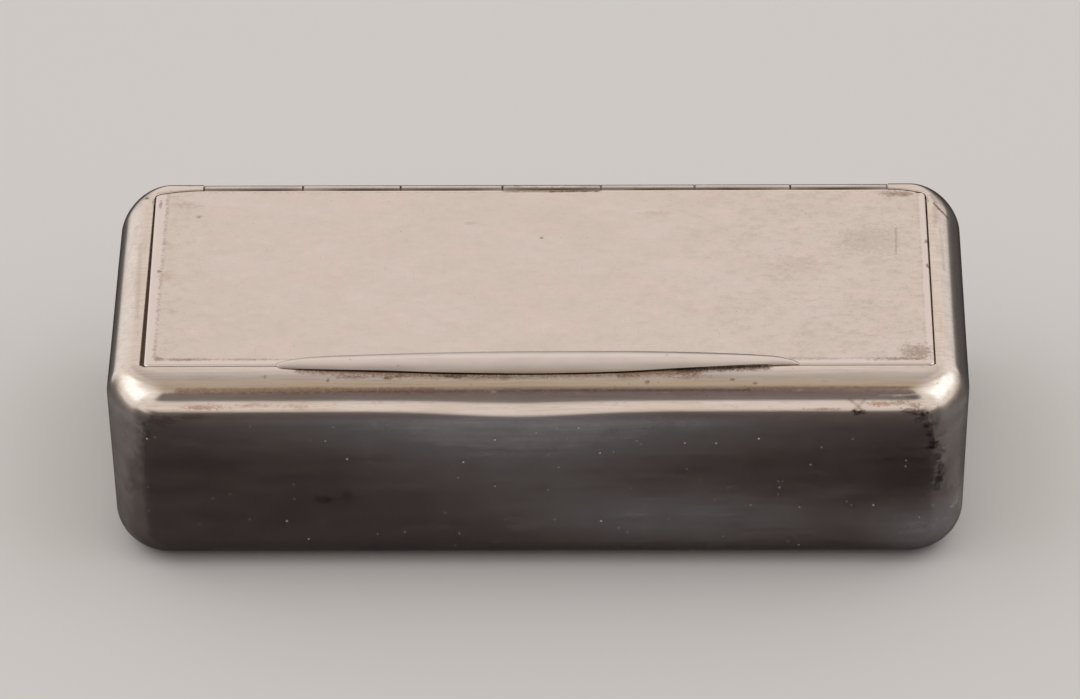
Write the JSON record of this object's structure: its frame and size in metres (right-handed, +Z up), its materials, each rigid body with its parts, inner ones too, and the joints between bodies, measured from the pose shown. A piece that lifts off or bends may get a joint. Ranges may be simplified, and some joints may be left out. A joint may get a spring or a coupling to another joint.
{
  "type": "lidded box",
  "caption": "Small rounded rectangular metal box in worn satin silver, with a flush lid, a long knuckle hinge let into the back edge and a slender lens-shaped thumbpiece.",
  "frame": {"origin": "middle of the flat underside, at the centre of the box's plan", "axes": "+X along the length to the right seen from the front, +Y to the hinge side, +Z up through the lid"},
  "size_m": [0.082, 0.0352, 0.0214],
  "materials": {
    "wall_silver": "worn satin silver, polished by handling on the rolled edges, with brown tarnish spots",
    "lid_silver": "matt, mottled warm silver with fine scratches and small pits",
    "thumb_silver": "silver rubbed smooth by use",
    "hinge_silver": "satin silver with dark joints",
    "inner_silver": "plain silver, duller than the outside",
    "pin_metal": "plain drawn wire"
  },
  "bodies": {
    "box_body": {"body_wall": "wall_silver", "back_wall": "wall_silver", "base_plate": "wall_silver", "lid_rest": "inner_silver", "hinge_bearer_body": "inner_silver", "knuckle_1_body": "hinge_silver", "knuckle_3_body": "hinge_silver", "knuckle_5_body": "hinge_silver", "knuckle_7_body": "hinge_silver", "hinge_pin": "pin_metal", "pin_plug_left": "hinge_silver", "pin_plug_right": "hinge_silver"},
    "lid": {"lid_plate": "lid_silver", "lid_flange": "inner_silver", "hinge_bearer_lid": "inner_silver", "knuckle_2_lid": "hinge_silver", "knuckle_4_lid": "hinge_silver", "knuckle_6_lid": "hinge_silver", "thumbpiece": "thumb_silver"}
  },
  "joints": [
    {"name": "lid_hinge", "type": "hinge", "parent": "box_body", "child": "lid", "pos_m": [0, 0.01685, 0.0197], "axis": [-1, 0, 0], "range_deg": [0, 105]}
  ]
}
